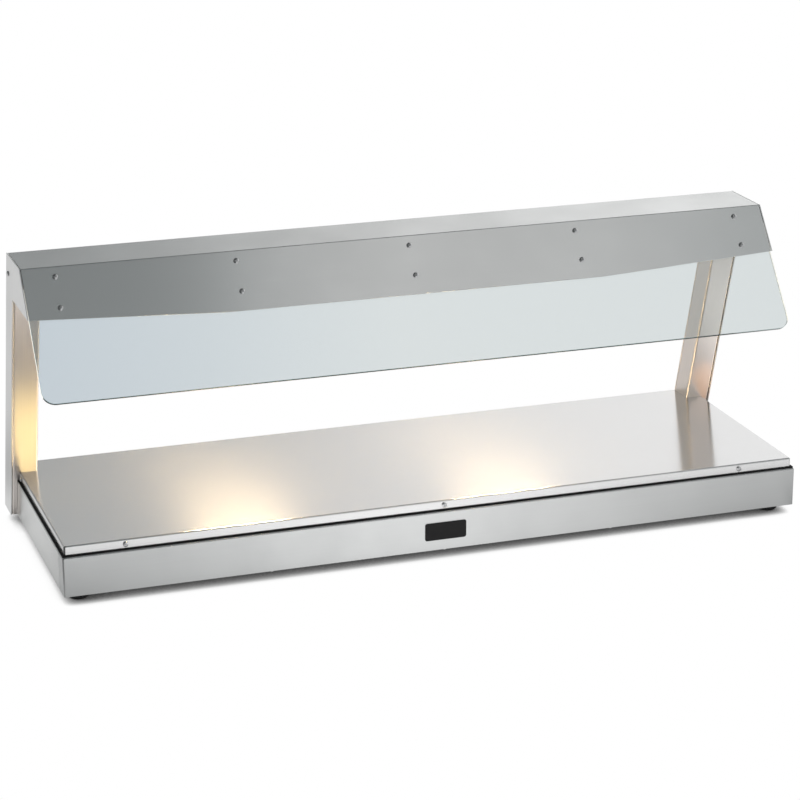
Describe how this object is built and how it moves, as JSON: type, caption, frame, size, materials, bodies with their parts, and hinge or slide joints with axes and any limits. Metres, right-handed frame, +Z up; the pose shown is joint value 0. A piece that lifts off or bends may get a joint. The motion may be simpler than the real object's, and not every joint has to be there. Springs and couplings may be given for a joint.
{
  "type": "hot buffet counter",
  "caption": "Counter-top heated display: stainless hot plate on a shallow casing, leaning uprights, a lamp canopy and a sloping glass sneeze guard.",
  "frame": {"origin": "on the counter, under the middle of the whole outline", "axes": "+X along the length, to the right as the customer sees it; +Y from the customer to the server; +Z up"},
  "size_m": [1.4554, 0.5146, 0.559],
  "materials": {
    "satin_stainless": "satin, grain along the length",
    "plate_stainless": "fine grain, rubbed bright",
    "galvanised_steel": "spangled zinc",
    "fastener_steel": "bright stainless",
    "guard_chrome": "bright plated wire",
    "polished_aluminium": "polished",
    "glass": "clear, slightly blue-green",
    "quartz": "clear, glowing filament",
    "black_rubber": "matt",
    "black_plastic": "fine texture",
    "red_plastic": "gloss, lit",
    "amber_lens": "gloss, lit",
    "nylon": "natural",
    "ceramic": "unglazed steatite",
    "heater_foil": "foil",
    "fibre_board": "matt fibre",
    "thermostat_case": "plated",
    "copper": "dull",
    "printed_plate": "satin, printed scale",
    "silicone_lead": "matt"
  },
  "bodies": {
    "frame": {"front_panel": "satin_stainless", "base_casing": "satin_stainless", "left_end_cheek": "satin_stainless", "right_end_cheek": "satin_stainless", "left_upright": "satin_stainless", "right_upright": "satin_stainless", "left_upright_cover": "satin_stainless", "right_upright_cover": "satin_stainless", "canopy_shell": "satin_stainless", "canopy_soffit": "satin_stainless", "glass_clamp_bar": "satin_stainless", "hot_plate": "plate_stainless", "bottom_panel": "galvanised_steel", "heater_tray": "galvanised_steel", "canopy_brackets": "galvanised_steel", "upright_spacers": "galvanised_steel", "plate_screws": "fastener_steel", "tray_nuts": "fastener_steel", "cover_screws": "fastener_steel", "cheek_screws": "fastener_steel", "upright_bolts": "fastener_steel", "fascia_screws": "fastener_steel", "fascia_nuts": "fastener_steel", "foot_inserts": "fastener_steel", "left_lamp_guard": "guard_chrome", "right_lamp_guard": "guard_chrome", "left_lamp_reflector": "polished_aluminium", "right_lamp_reflector": "polished_aluminium", "glass_spacer_bar": "polished_aluminium", "glass_screen": "glass", "left_quartz_lamp": "quartz", "right_quartz_lamp": "quartz", "plate_seal": "black_rubber", "glass_gaskets": "black_rubber", "lamp_switch_body": "black_plastic", "cable_gland": "black_plastic", "gland_nut": "black_plastic", "badge_plate": "black_plastic", "heat_neon": "amber_lens", "glass_bushes": "nylon", "lamp_holders": "ceramic", "lamp_connector": "ceramic", "terminal_block": "ceramic", "heater_pad_1": "heater_foil", "heater_pad_2": "heater_foil", "heater_pad_3": "heater_foil", "heater_pad_4": "heater_foil", "insulation_board": "fibre_board", "thermostat_body": "thermostat_case", "thermostat_phial": "copper", "dial_ring": "printed_plate", "lamp_cable": "silicone_lead", "lamp_leads": "silicone_lead"},
    "knob": {"thermostat_knob": "black_plastic", "thermostat_shaft": "fastener_steel"},
    "rocker": {"lamp_switch_rocker": "red_plastic"},
    "foot_front_left": {"foot_front_left": "black_plastic"},
    "foot_front_right": {"foot_front_right": "black_plastic"},
    "foot_back_left": {"foot_back_left": "black_plastic"},
    "foot_back_right": {"foot_back_right": "black_plastic"}
  },
  "joints": [
    {"name": "thermostat_turn", "type": "hinge", "parent": "frame", "child": "knob", "pos_m": [0.56, 0.23595, 0.0545], "axis": [0, -1, 0], "range_deg": [0, 270]},
    {"name": "lamp_switch_tip", "type": "hinge", "parent": "frame", "child": "rocker", "pos_m": [0.48, 0.23545, 0.0545], "axis": [1, 0, 0], "range_deg": [-16, 0]},
    {"name": "level_front_left", "type": "slide", "parent": "frame", "child": "foot_front_left", "axis": [0, 0, -1], "range_m": [0, 0.012]},
    {"name": "level_front_right", "type": "slide", "parent": "frame", "child": "foot_front_right", "axis": [0, 0, -1], "range_m": [0, 0.012]},
    {"name": "level_back_left", "type": "slide", "parent": "frame", "child": "foot_back_left", "axis": [0, 0, -1], "range_m": [0, 0.012]},
    {"name": "level_back_right", "type": "slide", "parent": "frame", "child": "foot_back_right", "axis": [0, 0, -1], "range_m": [0, 0.012]}
  ]
}
